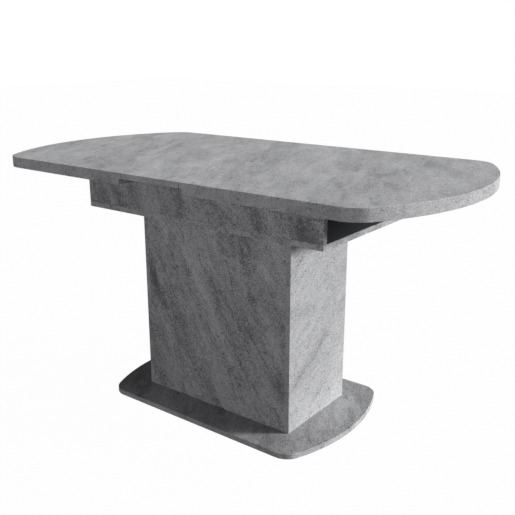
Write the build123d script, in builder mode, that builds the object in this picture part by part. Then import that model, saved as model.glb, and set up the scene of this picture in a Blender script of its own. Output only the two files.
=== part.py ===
"""Extendable pedestal dining table with a loose insert leaf, shown extended.

The top is three laminated boards: two leaves with doubled edges and a single insert
between them. A shallow box under the top carries the leaves on steel slides and stores
the insert. A hollow column of four panels stands on a base plate with bowed ends.

Millimetres, +Z up, +X along the top. The origin is on the floor, under the middle
of the top. A leaf's own axes point its X outwards, so both leaves share one set of sizes.
"""

import os
from math import atan, ceil, cos, pi, radians, sin, sqrt, tan

from build123d import *

os.makedirs("parts", exist_ok=True)

# ---- Top -------------------------------------------------------------------------
top_length = 1400.0
top_width = 750.0
table_height = 737.0
board = 15.0
insert_width = 200.0
end_bow = 126.0
corner_radius = 80.0
edge_round = 1.0
seam_gap = 0.3
strip_width = 70.0
strip_setback = 10.0
strip_clear = 8.0
strip_joint = 12.0
end_strip_width = 88.0
lift_ratio = 6.0
bevel_spare = 0.3

# ---- Base and column -------------------------------------------------------------
base_length = 770.0
base_width = 485.0
base_bow = 60.0
base_corner_radius = 55.0
pad_thickness = 2.0
pad_radius = 15.0
pad_pitch_x = 600.0
pad_pitch_y = 400.0
column_width = 532.0
column_depth = 288.0

# ---- Box -------------------------------------------------------------------------
box_length = 821.0
box_depth = 442.0
box_height = 138.0
box_screw_margin = 30.0
running_gap = 1.0
cross_rail_height = 29.0
insert_pad_radius = 6.0
insert_pad_reach = 150.0

# ---- Slides ----------------------------------------------------------------------
slide_end_gap = 10.5
slide_drop = 7.0
slide_start_gap = 17.5
channel_height = 30.0
channel_depth = 10.0
channel_wall = 1.5
lip_slot = 14.0
slide_play = 0.5
runner_height = 45.0
runner_gap = 2.0

# ---- Synchronising rack and pinion ------------------------------------------------
gear_module = 2.25
pinion_teeth = 16
pressure_angle = radians(20)
gear_depth = 8.0
rack_addendum = 1.8
root_clearance = 0.5
backlash = 0.5
rack_lead_teeth = 2.5
rack_back = 9.5
rack_gap = 2.0
bridge_thickness = 3.0
bridge_overhang = 4.5
bridge_half_width = 32.0
spacer_start = 25.0
spacer_length = 100.0
spacer_overlap = 4.0
axle_radius = 4.0
axle_play = 0.05
hub_radius = 9.0
hub_play = 0.2
axle_head_radius = 7.0
axle_head_height = 3.5

# ---- Fasteners: shank radius, head radius, length ---------------------------------
panel_screw = (2.5, 5.0, 50.0)
wood_screw = (1.75, 3.25, 54.0)
channel_screw = (1.75, 3.25, 12.0)
rail_screw = (1.75, 3.25, 20.0)
bridge_screw = (1.75, 3.25, 18.0)
dowel_radius = 4.0
dowel_length = 28.0
dowel_bite = 10.0
dowel_end_margin = 40.0
fit_gap = 0.1
column_side_screw_share = 0.7
column_face_screw_share = 0.55
bridge_screw_share = 0.7
box_screw_steps = (-1, -0.5, 0, 0.5, 1)
slide_screw_steps = (0.12, 0.5, 0.88)
pair_screw_steps = (0.25, 0.75)

# ---- Derived places ----------------------------------------------------------------
half_length = top_length / 2
half_width = top_width / 2
seam_x = insert_width / 2
travel = insert_width / 2
top_under = table_height - board
strip_under = top_under - board
base_top = pad_thickness + board
box_under = top_under - box_height
box_floor = box_under + board
box_rim = top_under - running_gap
box_right = box_length / 2
box_left = -box_right
box_half = box_depth / 2
box_inner = box_half - board
box_middle = box_half - board / 2
half_depth = column_depth / 2
inner_depth = half_depth - board
panel_middle = half_depth - board / 2
half_column = column_width / 2
column_middle = half_column - board / 2
strip_start = seam_x + strip_setback
end_strip_start = max(half_length - end_strip_width, box_right + travel + strip_clear)
end_arc_radius = (half_width**2 + end_bow**2) / (2 * end_bow)
end_arc_middle = half_length - end_arc_radius
end_strip_half = sqrt(end_arc_radius**2 - (end_strip_start - end_arc_middle) ** 2)
strip_inner = min(half_width - strip_width, end_strip_half - strip_joint)

cross_rail_x = insert_width / 4
cross_rail_under = box_rim - cross_rail_height
slide_start = cross_rail_x + board / 2 + slide_start_gap
slide_length = box_right - board - slide_end_gap - travel - slide_start
slide_end = slide_start + slide_length
channel_top = top_under - slide_drop
channel_under = channel_top - channel_height
slide_middle = (channel_top + channel_under) / 2
runner_outer = box_inner - channel_depth - runner_gap
runner_inner = runner_outer - board
runner_under = top_under - runner_height

pitch_radius = gear_module * pinion_teeth / 2
tooth_pitch = pi * gear_module
pinion_addendum = gear_module
bridge_under = cross_rail_under - bridge_thickness
gear_top = bridge_under - rack_gap
gear_under = gear_top - gear_depth
rack_root = pitch_radius + pinion_addendum + root_clearance
rack_outer = rack_root + rack_back
rack_middle = (rack_root + rack_outer) / 2
rack_overrun = 3 * tooth_pitch
spacer_near = slide_start + travel + spacer_start
spacer_far = spacer_near + spacer_length

column_screw_spots = [
    *((x * column_middle, y * half_depth * column_side_screw_share) for x in (-1, 1) for y in (-1, 1)),
    *((x * half_column * column_face_screw_share, y * panel_middle) for x in (-1, 1) for y in (-1, 1)),
]
side_screw_x = [(box_right - box_screw_margin) * step for step in box_screw_steps]
end_screw_spots = [(box_left + board / 2, y * box_inner / 2) for y in (-1, 1)]
box_screw_spots = [(x, y * box_middle) for x in side_screw_x for y in (-1, 1)] + end_screw_spots
dowel_heights = (
    base_top + dowel_end_margin,
    (base_top + box_under) / 2,
    box_under - dowel_end_margin,
)
channel_screw_x = [slide_start + slide_length * step for step in slide_screw_steps]
rail_screw_x = [slide_start + travel + slide_length * step for step in pair_screw_steps]
runner_screw_x = [slide_start + travel + slide_length * step for step in slide_screw_steps]
rack_screw_x = [spacer_near + spacer_length * step for step in pair_screw_steps]
bridge_screw_y = bridge_half_width * bridge_screw_share


# ---- Helpers -------------------------------------------------------------------------
def save(piece, name):
    """Label a finished piece and write its file."""
    piece.part.label = name
    export_step(piece.part, f"parts/{name}.step")


def level(height, hand=1):
    """Horizontal plane at a height; hand -1 turns it half round for the left leaf."""
    return Plane(origin=(0, 0, height), x_dir=(hand, 0, 0), z_dir=(0, 0, 1))


def slab(x, y, z, hand=1, mode=Mode.ADD):
    """Straight block between two limits on each axis."""
    with BuildSketch(level(min(z), hand)) as outline:
        with Locations(((x[0] + x[1]) / 2, (y[0] + y[1]) / 2)):
            Rectangle(abs(x[1] - x[0]), abs(y[1] - y[0]))
    extrude(outline.sketch, amount=abs(z[1] - z[0]), mode=mode)


def screws(face, spots, size, mode=Mode.ADD, gap=0.0):
    """Countersunk screws with heads flush in a face, driven along its normal."""
    shank, head, length = size
    with BuildSketch(face) as heads:
        with Locations(*spots):
            Circle(head + gap)
    extrude(heads.sketch, amount=head - shank, taper=45, mode=mode)
    with BuildSketch(face) as shanks:
        with Locations(*spots):
            Circle(shank + gap)
    extrude(shanks.sketch, amount=length + gap, mode=mode)


def pins(face, spots, length, mode=Mode.ADD, gap=0.0):
    """Round dowels standing on a face."""
    with BuildSketch(face.offset(-gap)) as rounds:
        with Locations(*spots):
            Circle(dowel_radius + gap)
    extrude(rounds.sketch, amount=length + 2 * gap, mode=mode)


def bowed_outline(face, length, width, bow, radius):
    """Plan of a board with straight sides, bowed ends and rounded corners."""
    end_x = length / 2 - bow
    side_y = width / 2
    with BuildSketch(face) as outline:
        with BuildLine():
            Line((-end_x, -side_y), (end_x, -side_y))
            ThreePointArc((end_x, -side_y), (length / 2, 0), (end_x, side_y))
            Line((end_x, side_y), (-end_x, side_y))
            ThreePointArc((-end_x, side_y), (-length / 2, 0), (-end_x, -side_y))
        make_face()
        fillet(outline.vertices(), radius)
    return outline.sketch


def side_face(depth, side):
    """Upright plane at a depth, facing front (-1) or back (+1)."""
    return Plane(origin=(0, side * depth, 0), x_dir=(1, 0, 0), z_dir=(0, side, 0))


def on_side(spots, side):
    """X and height pairs as points of a side_face plane."""
    return [(x, -side * height) for x, height in spots]


def upward(height):
    """Plane that screws are driven upward from."""
    return Plane.XY.offset(height)


def downward(height):
    """Plane that screws are driven downward from."""
    return Plane(origin=(0, 0, height), x_dir=(1, 0, 0), z_dir=(0, 0, -1))


def column_dowel_pins(mode=Mode.ADD, gap=0.0):
    """Dowels that join the front and back panels to the side panels."""
    spots = [(side * panel_middle, height) for side in (-1, 1) for height in dowel_heights]
    inner_end = half_column - board + dowel_bite - dowel_length
    pins(Plane.YZ.offset(inner_end), spots, dowel_length, mode, gap)
    pins(Plane.YZ.offset(-inner_end - dowel_length), spots, dowel_length, mode, gap)


def cross_rail_dowel_pins(mode=Mode.ADD, gap=0.0):
    """Dowels that hold the cross rails between the box sides."""
    height = box_rim - cross_rail_height / 2
    spots = [(-cross_rail_x, height), (cross_rail_x, height)]
    inner_end = box_inner + dowel_bite - dowel_length
    for side in (-1, 1):
        pins(side_face(inner_end, side), on_side(spots, side), dowel_length, mode, gap)


def channel_screw_set(side, mode=Mode.ADD, gap=0.0):
    """Screws through the channel webs into one box side."""
    spots = [(hand * x, slide_middle) for hand in (-1, 1) for x in channel_screw_x]
    face = side_face(box_inner - channel_wall, side)
    screws(face, on_side(spots, side), channel_screw, mode, gap)


# ---- Base plate and floor pads -------------------------------------------------------
with BuildPart() as base_plate:
    plan = bowed_outline(level(pad_thickness), base_length, base_width, base_bow, base_corner_radius)
    extrude(plan, amount=board)
    fillet(base_plate.edges().group_by(Axis.Z)[-1], edge_round)
    screws(upward(pad_thickness), column_screw_spots, panel_screw, Mode.SUBTRACT, fit_gap)
save(base_plate, "base_plate")

with BuildPart() as floor_pads:
    with BuildSketch():
        with GridLocations(pad_pitch_x / 2, pad_pitch_y, 3, 2):
            Circle(pad_radius)
    extrude(amount=pad_thickness)
save(floor_pads, "floor_pads")

with BuildPart() as base_screws:
    screws(upward(pad_thickness), column_screw_spots, panel_screw)
save(base_screws, "base_screws")

# ---- Column ----------------------------------------------------------------------------
column_z = (base_top, box_under)
for name, hand in (("column_left_panel", -1), ("column_right_panel", 1)):
    with BuildPart() as column_side:
        slab((half_column - board, half_column), (-half_depth, half_depth), column_z, hand)
        column_dowel_pins(Mode.SUBTRACT, fit_gap)
        screws(upward(pad_thickness), column_screw_spots, panel_screw, Mode.SUBTRACT, fit_gap)
        screws(downward(box_floor), column_screw_spots, panel_screw, Mode.SUBTRACT, fit_gap)
    save(column_side, name)

for name, hand in (("column_front_panel", -1), ("column_back_panel", 1)):
    with BuildPart() as column_face:
        slab((board - half_column, half_column - board), (inner_depth, half_depth), column_z, hand)
        column_dowel_pins(Mode.SUBTRACT, fit_gap)
        screws(upward(pad_thickness), column_screw_spots, panel_screw, Mode.SUBTRACT, fit_gap)
        screws(downward(box_floor), column_screw_spots, panel_screw, Mode.SUBTRACT, fit_gap)
    save(column_face, name)

with BuildPart() as column_dowels:
    column_dowel_pins()
save(column_dowels, "column_dowels")

# ---- Box ---------------------------------------------------------------------------------
with BuildPart() as box_bottom_board:
    slab((box_left, box_right), (-box_half, box_half), (box_under, box_floor))
    screws(downward(box_floor), column_screw_spots, panel_screw, Mode.SUBTRACT, fit_gap)
    screws(upward(box_under), box_screw_spots, panel_screw, Mode.SUBTRACT, fit_gap)
save(box_bottom_board, "box_bottom_board")

for name, side in (("box_front_side", -1), ("box_back_side", 1)):
    with BuildPart() as box_side:
        slab((box_left, box_right), (side * box_inner, side * box_half), (box_floor, box_rim))
        screws(upward(box_under), box_screw_spots, panel_screw, Mode.SUBTRACT, fit_gap)
        channel_screw_set(side, Mode.SUBTRACT, fit_gap)
        cross_rail_dowel_pins(Mode.SUBTRACT, fit_gap)
    save(box_side, name)

with BuildPart() as box_left_end:
    slab((box_left, box_left + board), (-box_inner, box_inner), (box_floor, box_rim))
    screws(upward(box_under), box_screw_spots, panel_screw, Mode.SUBTRACT, fit_gap)
save(box_left_end, "box_left_end")

with BuildPart() as box_floor_screws:
    screws(downward(box_floor), column_screw_spots, panel_screw)
save(box_floor_screws, "box_floor_screws")

with BuildPart() as box_bottom_screws:
    screws(upward(box_under), box_screw_spots, panel_screw)
save(box_bottom_screws, "box_bottom_screws")

bridge_spots = [(x * cross_rail_x, y * bridge_screw_y) for x in (-1, 1) for y in (-1, 1)]
for name, hand in (("cross_rail_left", -1), ("cross_rail_right", 1)):
    with BuildPart() as cross_rail:
        rail_x = (cross_rail_x - board / 2, cross_rail_x + board / 2)
        slab(rail_x, (-box_inner, box_inner), (cross_rail_under, box_rim), hand)
        cross_rail_dowel_pins(Mode.SUBTRACT, fit_gap)
        screws(upward(bridge_under), bridge_spots, bridge_screw, Mode.SUBTRACT, fit_gap)
    save(cross_rail, name)

with BuildPart() as cross_rail_dowels:
    cross_rail_dowel_pins()
save(cross_rail_dowels, "cross_rail_dowels")

# ---- Slide channels on the box sides --------------------------------------------------------
channel_outer = box_inner
channel_inner = box_inner - channel_depth
for place, hand, side in (
    ("left_front", -1, -1),
    ("left_back", -1, 1),
    ("right_front", 1, -1),
    ("right_back", 1, 1),
):
    with BuildPart() as channel:
        channel_x = (hand * slide_start, hand * slide_end)
        slab(channel_x, (side * channel_inner, side * channel_outer), (channel_under, channel_top))
        slab(
            channel_x,
            (side * (channel_inner + channel_wall), side * (channel_outer - channel_wall)),
            (channel_under + channel_wall, channel_top - channel_wall),
            mode=Mode.SUBTRACT,
        )
        slab(
            channel_x,
            (side * channel_inner, side * (channel_inner + channel_wall)),
            (slide_middle - lip_slot / 2, slide_middle + lip_slot / 2),
            mode=Mode.SUBTRACT,
        )
        channel_screw_set(side, Mode.SUBTRACT, fit_gap)
    save(channel, f"slide_channel_{place}")

with BuildPart() as channel_screws:
    for side in (-1, 1):
        channel_screw_set(side)
save(channel_screws, "channel_screws")

# ---- Bridge, axle and pinion -------------------------------------------------------------------
bridge_reach = cross_rail_x + board / 2 + bridge_overhang
with BuildPart() as sync_bridge:
    bridge_y = (-bridge_half_width, bridge_half_width)
    slab((-bridge_reach, bridge_reach), bridge_y, (bridge_under, cross_rail_under))
    fillet(sync_bridge.edges().filter_by(Axis.Z), 2 * bridge_thickness)
    screws(upward(bridge_under), bridge_spots, bridge_screw, Mode.SUBTRACT, fit_gap)
    with Locations((0, 0, cross_rail_under)):
        Hole(axle_radius + fit_gap, depth=bridge_thickness)
save(sync_bridge, "sync_bridge")

with BuildPart() as bridge_screws:
    screws(upward(bridge_under), bridge_spots, bridge_screw)
save(bridge_screws, "bridge_screws")

with BuildPart() as pinion_axle:
    axle_foot = gear_under - hub_play - axle_head_height
    with BuildSketch(Plane.XY.offset(axle_foot)):
        RegularPolygon(axle_head_radius, 6)
    extrude(amount=axle_head_height)
    with BuildSketch(Plane.XY.offset(axle_foot)):
        Circle(axle_radius)
    extrude(amount=cross_rail_under - axle_foot)
    with BuildSketch(Plane.XY.offset(cross_rail_under)):
        Circle(axle_head_radius)
    extrude(amount=axle_head_height)
    fillet(pinion_axle.edges().group_by(Axis.Z)[-1], 1.5 * edge_round)
save(pinion_axle, "pinion_axle")


base_circle = pitch_radius * cos(pressure_angle)
tip_radius = pitch_radius + pinion_addendum
root_radius = pitch_radius - rack_addendum - root_clearance
half_tooth = (tooth_pitch - backlash) / 4 / pitch_radius


def flank_point(radius, side):
    """Point on an involute flank of the tooth that stands on the local X axis."""
    roll = sqrt(max(radius**2 / base_circle**2 - 1, 0.0))
    unwound = roll - atan(roll)
    angle = side * (half_tooth + tan(pressure_angle) - pressure_angle - unwound)
    return radius * cos(angle), radius * sin(angle)


with BuildSketch() as pinion_tooth:
    flank_radii = [base_circle + (tip_radius - base_circle) * step / 4 for step in range(5)]
    lower = [flank_point(radius, -1) for radius in flank_radii]
    upper = [flank_point(radius, 1) for radius in flank_radii]
    foot_x = root_radius - root_clearance
    with BuildLine():
        Polyline(upper[0], (foot_x, upper[0][1]), (foot_x, lower[0][1]), lower[0])
        Spline(*lower)
        ThreePointArc(lower[-1], (tip_radius, 0), upper[-1])
        Spline(*upper)
    make_face()

with BuildPart() as sync_pinion:
    with BuildSketch(Plane.XY.offset(gear_under)):
        Circle(root_radius)
        with PolarLocations(0, pinion_teeth, start_angle=90):
            add(pinion_tooth.sketch)
    extrude(amount=gear_depth)
    with BuildSketch(Plane.XY.offset(gear_top)):
        Circle(hub_radius)
    extrude(amount=rack_gap - hub_play)
    with Locations((0, 0, bridge_under)):
        Hole(axle_radius + axle_play, depth=bridge_under - gear_under)
save(sync_pinion, "sync_pinion")

# ---- Leaves --------------------------------------------------------------------------------------
rack_teeth = ceil((travel + 2 * rack_overrun) / tooth_pitch)
rack_flank = tan(pressure_angle)
rack_tip_half = (tooth_pitch - backlash) / 4 - rack_addendum * rack_flank
rack_root_half = (tooth_pitch - backlash) / 4 + (rack_root - pitch_radius) * rack_flank
for leaf, hand in (("left", -1), ("right", 1)):
    with BuildPart() as leaf_top:
        plan = bowed_outline(level(top_under, hand), top_length, top_width, end_bow, corner_radius)
        extrude(plan, amount=board)
        cut_x = (-half_length, seam_x)
        slab(cut_x, (-half_width, half_width), (top_under, table_height), hand, Mode.SUBTRACT)
        rim = leaf_top.edges().group_by(Axis.Z)[-1]
        fillet(rim.filter_by(lambda edge: abs(edge.center().X) > seam_x + edge_round), edge_round)
        for side in (-1, 1):
            spots = [(hand * x, side * (runner_outer - board / 2)) for x in runner_screw_x]
            screws(upward(runner_under), spots, wood_screw, Mode.SUBTRACT, fit_gap)
        rack_spots = [(hand * x, -hand * rack_middle) for x in rack_screw_x]
        screws(upward(gear_under), rack_spots, wood_screw, Mode.SUBTRACT, fit_gap)
    save(leaf_top, f"{leaf}_leaf_top")

    for side_name, side in (("front", -1), ("back", 1)):
        with BuildPart() as edge_strip:
            plan = bowed_outline(level(strip_under), top_length, top_width, end_bow, corner_radius)
            extrude(plan, amount=board)
            keep_x = (hand * strip_start, hand * end_strip_start)
            keep_y = (side * strip_inner, side * half_width)
            slab(keep_x, keep_y, (strip_under, top_under), mode=Mode.INTERSECT)
        save(edge_strip, f"{leaf}_{side_name}_strip")

        with BuildPart() as runner:
            runner_x = (hand * (slide_start + travel), hand * (slide_end + travel))
            slab(runner_x, (side * runner_inner, side * runner_outer), (runner_under, top_under))
            spots = [(hand * x, side * (runner_outer - board / 2)) for x in runner_screw_x]
            screws(upward(runner_under), spots, wood_screw, Mode.SUBTRACT, fit_gap)
            spots = on_side([(hand * x, slide_middle) for x in rail_screw_x], side)
            screws(side_face(runner_inner, side), spots, rail_screw, Mode.SUBTRACT, fit_gap)
        save(runner, f"{leaf}_{side_name}_runner")

        with BuildPart() as slide_rail:
            head_inner = channel_inner + channel_wall + slide_play
            head_outer = channel_outer - channel_wall - slide_play
            head_half = channel_height / 2 - channel_wall - slide_play
            neck_half = lip_slot / 2 - 2 * slide_play
            head_z = (slide_middle - head_half, slide_middle + head_half)
            neck_z = (slide_middle - neck_half, slide_middle + neck_half)
            slab(runner_x, (side * head_inner, side * head_outer), head_z)
            slab(runner_x, (side * runner_outer, side * head_inner), neck_z)
            screws(side_face(runner_inner, side), spots, rail_screw, Mode.SUBTRACT, fit_gap)
        save(slide_rail, f"{leaf}_{side_name}_rail")

    with BuildPart() as end_strip:
        plan = bowed_outline(level(strip_under), top_length, top_width, end_bow, corner_radius)
        extrude(plan, amount=board)
        keep_x = (hand * end_strip_start, hand * half_length)
        slab(keep_x, (-half_width, half_width), (strip_under, top_under), mode=Mode.INTERSECT)
    save(end_strip, f"{leaf}_end_strip")

    with BuildPart() as leaf_screws:
        for side in (-1, 1):
            spots = [(hand * x, side * (runner_outer - board / 2)) for x in runner_screw_x]
            screws(upward(runner_under), spots, wood_screw)
            spots = on_side([(hand * x, slide_middle) for x in rail_screw_x], side)
            screws(side_face(runner_inner, side), spots, rail_screw)
        screws(upward(gear_under), rack_spots, wood_screw)
    save(leaf_screws, f"{leaf}_leaf_screws")

    with BuildPart() as rack_spacer:
        spacer_y = (-rack_outer - spacer_overlap, -rack_root + spacer_overlap)
        slab((spacer_near, spacer_far), spacer_y, (gear_top, top_under), hand)
        screws(upward(gear_under), rack_spots, wood_screw, Mode.SUBTRACT, fit_gap)
    save(rack_spacer, f"{leaf}_rack_spacer")

    with BuildPart() as rack:
        slab((-rack_overrun, spacer_far), (-rack_outer, -rack_root), (gear_under, gear_top), hand)
        with BuildSketch(level(gear_under, hand)) as teeth:
            for number in range(rack_teeth):
                tooth_x = (number - rack_lead_teeth) * tooth_pitch
                with BuildLine():
                    Polyline(
                        (tooth_x - rack_root_half, -rack_root),
                        (tooth_x - rack_tip_half, rack_addendum - pitch_radius),
                        (tooth_x + rack_tip_half, rack_addendum - pitch_radius),
                        (tooth_x + rack_root_half, -rack_root),
                        close=True,
                    )
                make_face()
        extrude(amount=gear_depth)
        screws(upward(gear_under), rack_spots, wood_screw, Mode.SUBTRACT, fit_gap)
    save(rack, f"{leaf}_rack")

# ---- Insert ------------------------------------------------------------------------------------------
insert_top_half = seam_x - seam_gap
insert_under_half = insert_top_half - board / lift_ratio - bevel_spare
with BuildPart() as insert_board:
    with BuildSketch(Plane.XZ.offset(half_width)):
        with BuildLine():
            Polyline(
                (-insert_under_half, top_under),
                (insert_under_half, top_under),
                (insert_top_half, table_height),
                (-insert_top_half, table_height),
                close=True,
            )
        make_face()
    extrude(amount=-top_width)
    rim = insert_board.edges().group_by(Axis.Z)[-1]
    fillet(rim.filter_by(Axis.X), edge_round)
save(insert_board, "insert_board")

with BuildPart() as insert_pads:
    with BuildSketch(Plane.XY.offset(box_rim)):
        with GridLocations(2 * cross_rail_x, 2 * insert_pad_reach, 2, 2):
            Circle(insert_pad_radius)
    extrude(amount=running_gap)
save(insert_pads, "insert_pads")
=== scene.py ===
"""Looks of the extendable pedestal dining table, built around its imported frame. Metres."""

import math

import bmesh
import bpy
from mathutils import Matrix, Vector


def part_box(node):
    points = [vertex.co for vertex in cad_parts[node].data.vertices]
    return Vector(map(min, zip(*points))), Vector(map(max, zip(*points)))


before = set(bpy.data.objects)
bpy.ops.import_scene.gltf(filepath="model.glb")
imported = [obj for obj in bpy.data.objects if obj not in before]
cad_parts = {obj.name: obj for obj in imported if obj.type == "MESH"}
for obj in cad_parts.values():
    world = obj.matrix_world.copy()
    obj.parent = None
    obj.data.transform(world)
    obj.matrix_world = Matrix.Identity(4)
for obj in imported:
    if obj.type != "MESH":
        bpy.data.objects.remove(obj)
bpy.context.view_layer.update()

X, Y, Z = 0, 1, 2
LOW, HIGH = 0, 1

# ---- Studio and camera ------------------------------------------------------------------
CAMERA_PLACE = (1.2588, -1.5949, 1.0520)
CAMERA_YAW = math.radians(37.17)
CAMERA_PITCH = math.radians(-16.68)
CAMERA_LENS = 50.0
CAMERA_SENSOR = 36.0
FLOOR_SIZE = 30.0
FLOOR_COLOUR = (0.17, 0.17, 0.17, 1.0)
FLOOR_SHOWN_WHITE = 0.985
FILL_STRENGTH = 0.06
NEUTRAL = (1.0, 1.0, 1.0)
COOL = (1.0, 1.0, 1.05)
# Name: direction to the light, strength, apparent width in degrees, colour.
STUDIO_LIGHTS = {
    "key": ((1.0, 0.77, 0.37), 3.47, 10.5, NEUTRAL),
    "high_side": ((1.0, 0.77, 1.57), 1.50, 26.0, NEUTRAL),
    "overhead": ((0.0, 0.0, 1.0), 0.48, 40.0, NEUTRAL),
    "front_fill": ((-0.25, -1.0, -0.03), 1.06, 30.0, COOL),
    "side_fill": ((1.0, -0.3, 0.0), 0.60, 50.0, NEUTRAL),
}

# ---- Concrete decor ---------------------------------------------------------------------
# Axes of the printed sheet on each kind of face: along the streaks, across them, outwards.
STREAK_FRONT = ((0.50, 0.0, -0.87), (0.87, 0.0, 0.50), (0.0, -1.0, 0.0))
STREAK_SIDE = ((0.0, 0.85, 0.53), (0.0, -0.53, 0.85), (1.0, 0.0, 0.0))
STREAK_TOP = ((0.50, -0.87, 0.0), (0.87, 0.50, 0.0), (0.0, 0.0, 1.0))

# Name: squeeze along the streaks, features per metre, detail, roughness, distortion.
DECOR_LAYERS = {
    "clouds": (0.42, 7.0, 2.0, 0.5, 0.35),
    "streaks": (0.28, 26.0, 2.0, 0.7, 0.5),
    "mottle": (0.72, 85.0, 2.0, 0.75, 0.3),
    "grain": (1.0, 300.0, 3.0, 1.0, 0.0),
    "ridge": (0.5, 34.0, 2.0, 0.5, 1.1),
}
# The same, then the levels where a mark starts to show and where it is full.
DECOR_MARKS = {
    "chips": (0.42, 120.0, 2.0, 0.6, 0.9, 0.60, 0.69),
    "chip_fields": (1.0, 12.0, 2.0, 0.5, 0.0, 0.44, 0.60),
    "specks": (0.55, 175.0, 1.0, 0.5, 0.8, 0.60, 0.66),
    "speck_fields": (0.42, 30.0, 2.0, 0.6, 0.0, 0.36, 0.62),
    "hairline_fields": (1.0, 26.0, 2.0, 0.5, 0.0, 0.56, 0.70),
    "smudges": (0.42, 19.0, 3.0, 0.6, 0.6, 0.52, 0.70),
    "flecks": (0.7, 230.0, 1.0, 0.5, 0.0, 0.72, 0.80),
}
MARK_FIELDS = {
    "chips": "chip_fields",
    "specks": "speck_fields",
    "hairlines": "hairline_fields",
}
HAIRLINE_CORE = 0.003
HAIRLINE_EDGE = 0.014
LAYER_WEIGHTS = {"clouds": 0.82, "streaks": 0.75, "mottle": 0.6}
MARK_WEIGHTS = {"smudges": -0.20, "chips": -0.34, "hairlines": -0.24, "flecks": 0.18}
GRAIN_WEIGHT = 2.9
SPECK_WEIGHT = -0.30
RELIEF_WEIGHTS = {"grain": 0.35, "mottle": 0.5, "chips": -0.9, "hairlines": -0.8}
GLOSS_WEIGHTS = {"streaks": 0.16, "chips": 0.12}
DECOR_ROUGHNESS = 0.64

LAMINATE_DARK = (0.130, 0.131, 0.138, 1.0)
LAMINATE_LIGHT = (0.606, 0.609, 0.624, 1.0)
# Painted shade: dark colours for the box's inside faces, standing in for the shade in its hollow.
INSIDE_SHADE_DARK = (0.080, 0.086, 0.093, 1.0)
INSIDE_SHADE_PALE = (0.124, 0.131, 0.140, 1.0)
BOARD_TONE = 0.56
BOARD_GRAIN = 1.1

# ---- Depth of each surface's relief ---------------------------------------------------
DECOR_RELIEF = 0.00025
WOOD_RELIEF = 0.00012
METAL_RELIEF = 0.00003
NYLON_RELIEF = 0.00005
FELT_RELIEF = 0.0002


# ---- Node helpers -----------------------------------------------------------------------
class Tree:
    """Short calls for building a node tree."""

    def __init__(self, tree):
        self.tree = tree

    def node(self, kind, links=None, **settings):
        """Adds a node, sets its properties and connects or fills its inputs."""
        made = self.tree.nodes.new(kind)
        for name, value in settings.items():
            setattr(made, name, value)
        for key, value in (links or {}).items():
            self.feed(made.inputs[key], value)
        return made

    def feed(self, socket, value):
        """Connects a socket to an output, or sets it to a plain value."""
        if isinstance(value, bpy.types.NodeSocket):
            self.tree.links.new(value, socket)
        else:
            socket.default_value = value

    def math(self, operation, *values, clamp=False):
        """One math node; returns its output."""
        links = dict(enumerate(values))
        return self.node("ShaderNodeMath", links, operation=operation, use_clamp=clamp).outputs[0]

    def noise(self, vector, scale, detail=2.0, roughness=0.5, distortion=0.0):
        """Noise value at a scale in features per metre."""
        links = {
            "Vector": vector,
            "Scale": scale,
            "Detail": detail,
            "Roughness": roughness,
            "Distortion": distortion,
        }
        return self.node("ShaderNodeTexNoise", links).outputs["Fac"]

    def drawn_noise(self, vector, squeeze, scale, detail=2.0, roughness=0.5, distortion=0.0):
        """Noise drawn out along X: the smaller the squeeze, the longer its features."""
        links = {0: vector, 1: (squeeze, 1.0, 1.0)}
        place = self.node("ShaderNodeVectorMath", links, operation="MULTIPLY").outputs[0]
        return self.noise(place, scale, detail, roughness, distortion)

    def band(self, value, low, high):
        """0 below low, 1 above high, smooth between."""
        links = {"Value": value, "From Min": low, "From Max": high}
        made = self.node("ShaderNodeMapRange", links, interpolation_type="SMOOTHSTEP")
        return made.outputs["Result"]

    def swing(self, value, weight):
        """A 0 to 1 value turned into a weighted swing about nought."""
        return self.math("MULTIPLY", self.math("SUBTRACT", value, 0.5), weight)

    def weighted_sum(self, parts, weights, start):
        """Start value plus the named parts, each times its weight."""
        total = start
        for name, weight in weights.items():
            total = self.math("MULTIPLY_ADD", parts[name], weight, total)
        return total

    def mix_colour(self, factor, first, second, blend="MIX"):
        """Colour mix; returns its output."""
        made = self.node("ShaderNodeMix", data_type="RGBA", blend_type=blend)
        factor_socket, first_socket, second_socket = made.inputs[0], made.inputs[6], made.inputs[7]
        self.feed(factor_socket, factor)
        self.feed(first_socket, first)
        self.feed(second_socket, second)
        return made.outputs[2]

    def principled(self, colour, roughness, normal, **more):
        """Principled shader joined to the material's output."""
        links = {"Base Color": colour, "Roughness": roughness, "Normal": normal, **more}
        shader = self.node("ShaderNodeBsdfPrincipled", links)
        self.node("ShaderNodeOutputMaterial", {"Surface": shader.outputs[0]})


def effect_group(name, defaults):
    """Node group that places an effect; returns its tree helper, inputs and output node."""
    tree = bpy.data.node_groups.new(name, "ShaderNodeTree")
    tree.interface.new_socket("Vector", in_out="INPUT", socket_type="NodeSocketVector")
    for socket, value in defaults.items():
        kind = "NodeSocketColor" if isinstance(value, tuple) else "NodeSocketFloat"
        made = tree.interface.new_socket(socket, in_out="INPUT", socket_type=kind)
        made.default_value = value
    tree.interface.new_socket("Color", in_out="OUTPUT", socket_type="NodeSocketColor")
    for socket in ("Height", "Roughness"):
        tree.interface.new_socket(socket, in_out="OUTPUT", socket_type="NodeSocketFloat")
    entry = tree.nodes.new("NodeGroupInput")
    leave = tree.nodes.new("NodeGroupOutput")
    return Tree(tree), entry.outputs, leave


def give_out(t, leave, colour, height, roughness):
    """Connects an effect's results to its group's outputs; returns the group."""
    for name, value in (("Color", colour), ("Height", height), ("Roughness", roughness)):
        t.feed(leave.inputs[name], value)
    return t.tree


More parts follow.
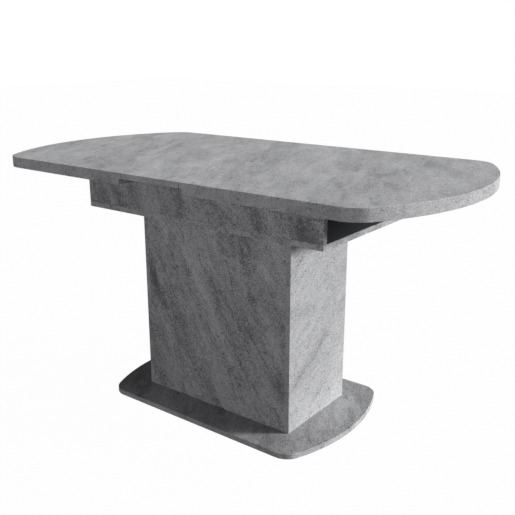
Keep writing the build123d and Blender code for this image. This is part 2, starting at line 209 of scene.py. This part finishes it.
# ---- Shared effects ---------------------------------------------------------------------
def decor_parts(t, place):
    """The concrete's layers and marks by name, each from 0 to 1."""
    parts = {name: t.drawn_noise(place, *shape) for name, shape in DECOR_LAYERS.items()}
    for name, (*shape, low, high) in DECOR_MARKS.items():
        parts[name] = t.band(t.drawn_noise(place, *shape), low, high)
    off_ridge = t.math("ABSOLUTE", t.math("SUBTRACT", parts["ridge"], 0.5))
    beside_hairline = t.band(off_ridge, HAIRLINE_CORE, HAIRLINE_EDGE)
    parts["hairlines"] = t.math("SUBTRACT", 1.0, beside_hairline)
    for name, field in MARK_FIELDS.items():
        parts[name] = t.math("MULTIPLY", parts[name], parts[field])
    return parts


def build_concrete_decor():
    """Printed concrete: drifting clouds and streaks, dark marks, pale flecks, fine grain."""
    defaults = {
        "Dark": LAMINATE_DARK,
        "Light": LAMINATE_LIGHT,
        "Contrast": 1.0,
        "Tone": BOARD_TONE,
        "Grain": BOARD_GRAIN,
    }
    t, given, leave = effect_group("concrete_decor", defaults)
    parts = decor_parts(t, given["Vector"])

    shade = t.weighted_sum(parts, LAYER_WEIGHTS, -0.5 * sum(LAYER_WEIGHTS.values()))
    shade = t.weighted_sum(parts, MARK_WEIGHTS, shade)
    fine = t.swing(parts["grain"], GRAIN_WEIGHT)
    fine = t.math("MULTIPLY_ADD", parts["specks"], SPECK_WEIGHT, fine)
    shade = t.math("MULTIPLY_ADD", fine, given["Grain"], shade)
    level = t.math("MULTIPLY_ADD", shade, given["Contrast"], given["Tone"], clamp=True)

    colour = t.mix_colour(level, given["Dark"], given["Light"])
    height = t.weighted_sum(parts, RELIEF_WEIGHTS, 0.0)
    roughness = t.weighted_sum(parts, GLOSS_WEIGHTS, DECOR_ROUGHNESS)
    return give_out(t, leave, colour, height, roughness)


def build_long_grain():
    """Planed hardwood: growth bands, fibres and short pores along the local X axis."""
    defaults = {"Early": (0.62, 0.44, 0.27, 1.0), "Late": (0.42, 0.27, 0.15, 1.0)}
    t, given, leave = effect_group("long_grain", defaults)
    place = given["Vector"]
    bands = t.drawn_noise(place, 0.06, 85.0, distortion=0.6)
    fibres = t.drawn_noise(place, 0.03, 900.0, 3.0, 0.6)
    pores = t.band(t.drawn_noise(place, 0.10, 1300.0, 1.0), 0.66, 0.74)
    level = t.math("ADD", t.swing(fibres, 0.5), bands)
    level = t.math("MULTIPLY_ADD", pores, 0.35, level, clamp=True)
    colour = t.mix_colour(level, given["Early"], given["Late"])
    height = t.math("MULTIPLY_ADD", pores, -0.6, fibres)
    roughness = t.math("MULTIPLY_ADD", fibres, 0.15, 0.50)
    return give_out(t, leave, colour, height, roughness)


def build_metal_marks():
    """Worked metal: drawing lines along X, cloudy plating and a few scuffs."""
    defaults = {"Base": (0.6, 0.6, 0.6, 1.0), "Lines": 0.5, "Clouds": 0.5, "Gloss": 0.35}
    t, given, leave = effect_group("metal_marks", defaults)
    place = given["Vector"]
    lines = t.swing(t.drawn_noise(place, 0.012, 1900.0, 2.0, 0.6), given["Lines"])
    clouds = t.swing(t.noise(place, 120.0, 3.0, 0.55, 0.4), given["Clouds"])
    scuffs = t.band(t.drawn_noise(place, 0.15, 160.0), 0.64, 0.72)
    level = t.math("ADD", t.math("ADD", lines, clouds), 0.5)
    level = t.math("MULTIPLY_ADD", scuffs, 0.12, level, clamp=True)
    darker = t.mix_colour(1.0, given["Base"], (0.62, 0.62, 0.64, 1.0), "MULTIPLY")
    colour = t.mix_colour(level, darker, given["Base"])
    roughness = t.math("ADD", given["Gloss"], t.swing(level, -0.35))
    return give_out(t, leave, colour, lines, roughness)


CONCRETE_DECOR = build_concrete_decor()
LONG_GRAIN = build_long_grain()
METAL_MARKS = build_metal_marks()


# ---- Materials --------------------------------------------------------------------------
def blank_material(name):
    """Material with an empty node tree; returns it, its tree helper and Object coordinates."""
    material = bpy.data.materials.new(name)
    material.use_nodes = True
    material.node_tree.nodes.clear()
    t = Tree(material.node_tree)
    return material, t, t.node("ShaderNodeTexCoord").outputs["Object"]


def placed_effect(t, where, group, settings, turn, shift):
    """A shared effect with its own values, on turned and shifted coordinates."""
    mapping = {"Vector": where, "Location": shift, "Rotation": turn}
    placed = t.node("ShaderNodeMapping", mapping).outputs[0]
    return t.node("ShaderNodeGroup", {"Vector": placed, **settings}, node_tree=group)


def bump(t, height, relief):
    """Normal of a surface with this relief."""
    return t.node("ShaderNodeBump", {"Height": height, "Distance": relief}).outputs["Normal"]


def past_plane(t, where, zone):
    """Mask that is 1 past a plane: its axis, the direction that counts as past, its place."""
    axis, sign, plane = zone
    along = t.node("ShaderNodeSeparateXYZ", {0: where}).outputs[axis]
    return t.math("GREATER_THAN", t.math("MULTIPLY", along, sign), sign * plane)


def laminate(
    name,
    streak,
    shift,
    contrast=1.0,
    tone=BOARD_TONE,
    grain=BOARD_GRAIN,
    shaded_inside=None,
    lit_edges=None,
):
    """Concrete-look board with its own piece of the decor.

    Inside faces past the inner plane are painted dark, standing in for the shade inside the box.
    Edges past the edge plane are painted lighter by the given amount, standing in for the light on
    them.
    """
    material, t, where = blank_material(name)
    # Painted light: past the edge plane the tone is lifted, standing in for the light falling on
    # the edges.
    if lit_edges:
        zone, edge_light_lift = lit_edges
        tone = t.math("MULTIPLY_ADD", past_plane(t, where, zone), edge_light_lift, tone)
    settings = {"Contrast": contrast, "Tone": tone, "Grain": grain}
    turn = tuple(Matrix(streak).to_euler("XYZ"))
    effect = placed_effect(t, where, CONCRETE_DECOR, settings, turn, shift)
    height = effect.outputs["Height"]
    colour = effect.outputs["Color"]
    # Painted shade: past the inner plane the decor gives way to a dark colour, standing in for the
    # shade inside the box.
    if shaded_inside:
        dark = t.mix_colour(height, INSIDE_SHADE_DARK, INSIDE_SHADE_PALE)
        colour = t.mix_colour(past_plane(t, where, shaded_inside), colour, dark)
    t.principled(colour, effect.outputs["Roughness"], bump(t, height, DECOR_RELIEF))
    return material


def beech(name, turn=(0.0, 0.0, 0.0), shift=(0.0, 0.0, 0.0)):
    """Planed, unfinished hardwood with its grain along the piece."""
    material, t, where = blank_material(name)
    effect = placed_effect(t, where, LONG_GRAIN, {}, turn, shift)
    normal = bump(t, effect.outputs["Height"], WOOD_RELIEF)
    t.principled(effect.outputs["Color"], effect.outputs["Roughness"], normal)
    return material


def metal(name, base, lines, clouds, gloss):
    """Bare or plated metal."""
    material, t, where = blank_material(name)
    settings = {"Base": (*base, 1.0), "Lines": lines, "Clouds": clouds, "Gloss": gloss}
    unmoved = (0.0, 0.0, 0.0)
    effect = placed_effect(t, where, METAL_MARKS, settings, unmoved, unmoved)
    normal = bump(t, effect.outputs["Height"], METAL_RELIEF)
    t.principled(effect.outputs["Color"], effect.outputs["Roughness"], normal, Metallic=1.0)
    return material


def moulded_nylon():
    """Black moulded nylon with a faint eroded texture."""
    material, t, where = blank_material("gear_nylon")
    pebble = t.noise(where, 1400.0, 2.0, 0.6)
    drift = t.noise(where, 90.0)
    colour = t.mix_colour(drift, (0.020, 0.020, 0.022, 1.0), (0.045, 0.045, 0.047, 1.0))
    roughness = t.math("MULTIPLY_ADD", pebble, 0.25, 0.32)
    t.principled(colour, roughness, bump(t, pebble, NYLON_RELIEF))
    return material


def pressed_felt():
    """Dark pressed felt with tangled fibres."""
    material, t, where = blank_material("felt")
    tangle = t.noise(where, 1600.0, 4.0, 0.7, 1.5)
    tufts = t.noise(where, 260.0, 3.0, 0.6)
    level = t.math("MULTIPLY", tangle, tufts)
    colour = t.mix_colour(level, (0.03, 0.03, 0.032, 1.0), (0.30, 0.30, 0.31, 1.0))
    roughness = t.math("MULTIPLY_ADD", tufts, 0.1, 0.88)
    sheen = {"Sheen Weight": 0.3}
    t.principled(colour, roughness, bump(t, tangle, FELT_RELIEF), **sheen)
    return material


# ---- What each piece is made of ---------------------------------------------------------
SKIN = 0.0003
# Painted shade: each inside zone below paints a board's inner face dark, standing in for the shade
# inside the box.
BOARDS = {
    "base_plate": {
        "streak": STREAK_TOP,
        "shift": (0.31, 0.72, 0.0),
        "contrast": 0.9,
        # Painted shade: a lower tone darkens the plate, standing in for the shade under the table.
        "tone": 0.50,
        # Painted light: everything below the plate's top face is lifted 0.24, standing in for the
        # light on its rim.
        "lit_edges": ((Z, -1.0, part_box("base_plate")[HIGH][Z] - SKIN), 0.24),
    },
    "column_left_panel": {"streak": STREAK_SIDE, "shift": (1.7, 0.4, 2.0)},
    "column_right_panel": {
        "streak": STREAK_SIDE,
        "shift": (0.6, 1.9, 0.3),
        "contrast": 0.60,
        # Painted light: a higher tone lightens the face that the key light falls on.
        "tone": 0.62,
        "grain": 1.8,
    },
    "column_front_panel": {"streak": STREAK_FRONT, "shift": (0.2, 0.1, 0.0), "contrast": 1.5},
    "column_back_panel": {"streak": STREAK_FRONT, "shift": (2.4, 1.3, 0.8)},
    "box_bottom_board": {
        "streak": STREAK_TOP,
        "shift": (3.1, 0.6, 0.4),
        "contrast": 1.2,
        "tone": 0.59,
        "shaded_inside": (Z, 1.0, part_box("box_bottom_board")[HIGH][Z] - SKIN),
    },
    "box_front_side": {
        "streak": STREAK_FRONT,
        "shift": (4.3, 0.9, 1.1),
        "contrast": 1.2,
        # Painted shade: a lower tone darkens the box front, standing in for the shade under the
        # top's overhang.
        "tone": 0.41,
        "shaded_inside": (Y, 1.0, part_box("box_front_side")[HIGH][Y] - SKIN),
    },
    "box_back_side": {
        "streak": STREAK_FRONT,
        "shift": (5.2, 2.2, 1.6),
        "shaded_inside": (Y, -1.0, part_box("box_back_side")[LOW][Y] + SKIN),
    },
    "box_left_end": {
        "streak": STREAK_SIDE,
        "shift": (2.7, 3.1, 0.9),
        "shaded_inside": (X, 1.0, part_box("box_left_end")[HIGH][X] - SKIN),
    },
}
TOP_SHEET = {
    "streak": STREAK_TOP,
    "shift": (0.0, 0.0, 0.0),
    "contrast": 0.66,
    "grain": 1.3,
    # Painted light: everything below the top face is lifted 0.05, standing in for the light on the
    # top's edges.
    "lit_edges": ((Z, -1.0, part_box("left_leaf_top")[HIGH][Z] - SKIN), 0.05),
}
TOP_BOARDS = ("left_leaf_top", "right_leaf_top", "insert_board")
CROSS_RAILS = ("cross_rail_left", "cross_rail_right")

TOP_LAMINATE = laminate("laminate_top", **TOP_SHEET)
BEECH_ALONG = beech("beech_along")
BEECH_ACROSS = beech("beech_across", (0.0, 0.0, math.radians(90)), (0.4, 0.2, 0.1))
ZINC = metal("zinc_steel", (0.66, 0.67, 0.69), 0.25, 0.9, 0.34)
SCREW = metal("screw_steel", (0.62, 0.62, 0.60), 0.1, 0.7, 0.30)
ALUMINIUM = metal("rail_aluminium", (0.78, 0.79, 0.80), 0.9, 0.2, 0.32)
NYLON = moulded_nylon()
FELT = pressed_felt()


def look_of(name):
    """The material that a frame node takes."""
    if name in TOP_BOARDS or name.endswith("_strip"):
        return TOP_LAMINATE
    if name in BOARDS:
        return laminate("laminate_" + name, **BOARDS[name])
    if name.endswith("_pads"):
        return FELT
    if "screws" in name or name == "pinion_axle":
        return SCREW
    if name.startswith("slide_channel") or name == "sync_bridge":
        return ZINC
    if name.endswith("_rack") or name == "sync_pinion":
        return NYLON
    if name in CROSS_RAILS:
        return BEECH_ACROSS
    if name.endswith("_rail"):
        return ALUMINIUM
    return BEECH_ALONG


for node_name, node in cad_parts.items():
    node.data.materials.clear()
    node.data.materials.append(look_of(node_name))


# ---- Studio -----------------------------------------------------------------------------
def studio_floor():
    """Wide pale floor, seen as nearly white but sending little light back up."""
    mesh = bpy.data.meshes.new("floor")
    shape = bmesh.new()
    bmesh.ops.create_grid(shape, x_segments=1, y_segments=1, size=FLOOR_SIZE / 2)
    shape.to_mesh(mesh)
    shape.free()
    floor = bpy.data.objects.new("floor", mesh)
    bpy.context.scene.collection.objects.link(floor)
    material, t, _ = blank_material("pale_floor")
    matt = t.node("ShaderNodeBsdfDiffuse", {"Color": FLOOR_COLOUR}).outputs[0]
    white = t.node("ShaderNodeEmission", {"Strength": 1.0}).outputs[0]
    seen = t.node("ShaderNodeLightPath").outputs["Is Camera Ray"]
    share = t.math("MULTIPLY", seen, FLOOR_SHOWN_WHITE)
    mixed = t.node("ShaderNodeMixShader", {0: share, 1: matt, 2: white}).outputs[0]
    t.node("ShaderNodeOutputMaterial", {"Surface": mixed})
    mesh.materials.append(material)


def studio_light():
    """A low key from the right and behind, a broad light over it, dim fills all round."""
    for name, (towards, strength, spread, colour) in STUDIO_LIGHTS.items():
        light = bpy.data.lights.new(name, "SUN")
        light.energy = strength
        light.color = colour
        light.angle = math.radians(spread)
        lamp = bpy.data.objects.new(name, light)
        lamp.rotation_euler = Vector(towards).to_track_quat("Z", "Y").to_euler()
        bpy.context.scene.collection.objects.link(lamp)


def studio_backdrop():
    """White behind the table, but only a dim fill for its light."""
    world = bpy.data.worlds.new("studio")
    world.use_nodes = True
    world.node_tree.nodes.clear()
    t = Tree(world.node_tree)
    seen = t.node("ShaderNodeLightPath").outputs["Is Camera Ray"]
    strength = t.math("MULTIPLY_ADD", seen, 1.0 - FILL_STRENGTH, FILL_STRENGTH)
    backdrop = {"Color": (1.0, 1.0, 1.0, 1.0), "Strength": strength}
    shader = t.node("ShaderNodeBackground", backdrop)
    t.node("ShaderNodeOutputWorld", {"Surface": shader.outputs[0]})
    bpy.context.scene.world = world


def studio_camera():
    """Camera in front of the table and to its right, a little above the top."""
    data = bpy.data.cameras.new("camera")
    data.lens = CAMERA_LENS
    data.sensor_width = CAMERA_SENSOR
    camera = bpy.data.objects.new("camera", data)
    camera.location = CAMERA_PLACE
    camera.rotation_euler = (math.pi / 2 + CAMERA_PITCH, 0.0, CAMERA_YAW)
    bpy.context.scene.collection.objects.link(camera)
    bpy.context.scene.camera = camera


studio_floor()
studio_light()
studio_backdrop()
studio_camera()
bpy.context.scene.view_settings.view_transform = "Standard"
